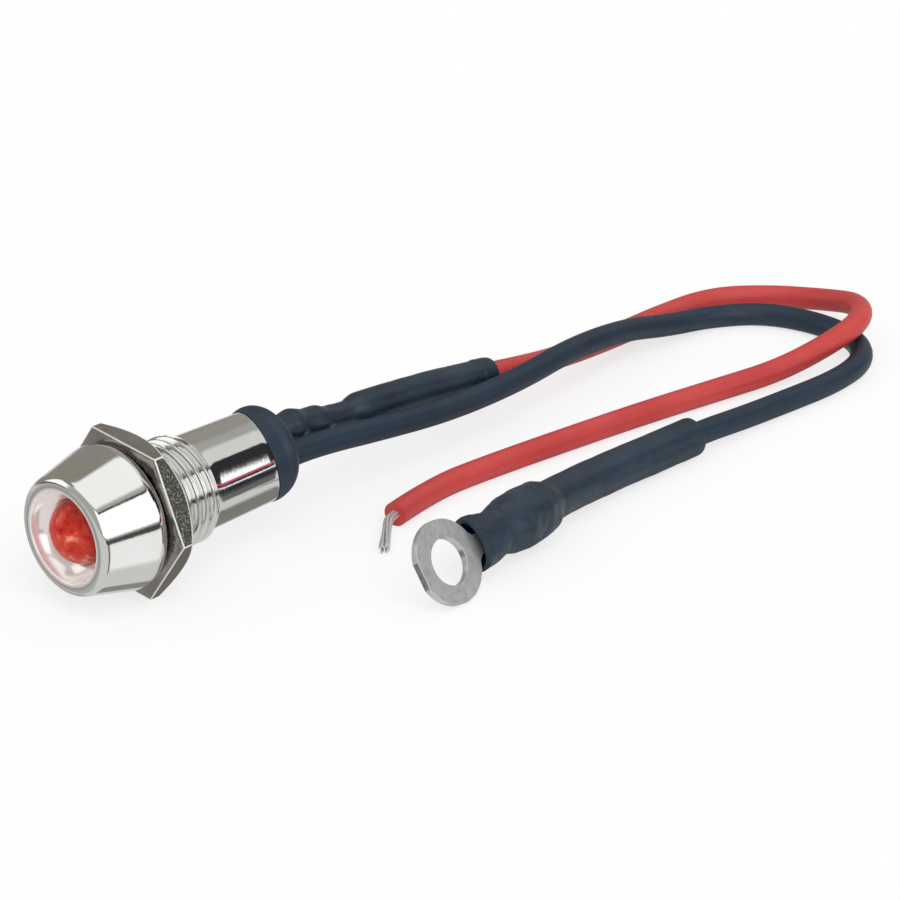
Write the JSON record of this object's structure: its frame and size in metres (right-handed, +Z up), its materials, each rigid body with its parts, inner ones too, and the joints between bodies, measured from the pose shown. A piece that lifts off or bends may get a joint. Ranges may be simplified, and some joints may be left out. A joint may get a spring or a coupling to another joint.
{
  "type": "led indicator lamp",
  "caption": "Chromed panel indicator lamp with a red dome, hexagon nut, sleeved resistor in its red lead and a ring terminal on its black lead.",
  "frame": {"origin": "centre of the bezel's panel seat, on the lamp's axis", "axes": "+X along the lamp's axis towards its leads, so the dome faces -X; +Z up from the surface it lies on; the wires run out towards +X and turn back on the -Y side"},
  "size_m": [0.0796, 0.0255, 0.0116],
  "materials": {
    "chrome_plate": "mirror bright plate over brass",
    "nickel_plate": "bright plate over brass",
    "red_epoxy": "tinted clear cast resin",
    "die": "semiconductor chip",
    "tinned_lead": "tinned steel lead",
    "black_plastic": "satin moulding",
    "solder": "bright solder",
    "black_sleeving": "satin shrunk polyolefin",
    "resistor_coat": "matt lacquer",
    "tinned_strand": "tinned copper strands",
    "red_pvc": "satin extruded insulation",
    "black_pvc": "satin extruded insulation",
    "tin_plate": "dull tin plate over copper"
  },
  "bodies": {
    "root": {"housing": "chrome_plate", "panel_nut": "nickel_plate", "led_lens": "red_epoxy", "led_die": "die", "led_cathode_leg": "tinned_lead", "led_anode_leg": "tinned_lead", "led_retainer": "black_plastic", "end_cap": "black_plastic", "cathode_solder": "solder", "cathode_sleeve": "black_sleeving", "anode_solder": "solder", "resistor_front_lead": "tinned_lead", "resistor_body": "resistor_coat", "resistor_rear_lead": "tinned_lead", "red_solder": "solder", "red_core_tail": "tinned_strand", "resistor_sleeve": "black_sleeving", "red_wire": "red_pvc", "red_strands": "tinned_strand", "black_core_tail": "tinned_strand", "black_wire": "black_pvc", "black_crimp_core": "tinned_strand", "ring_terminal": "tin_plate", "terminal_sleeve": "black_sleeving"}
  },
  "joints": []
}
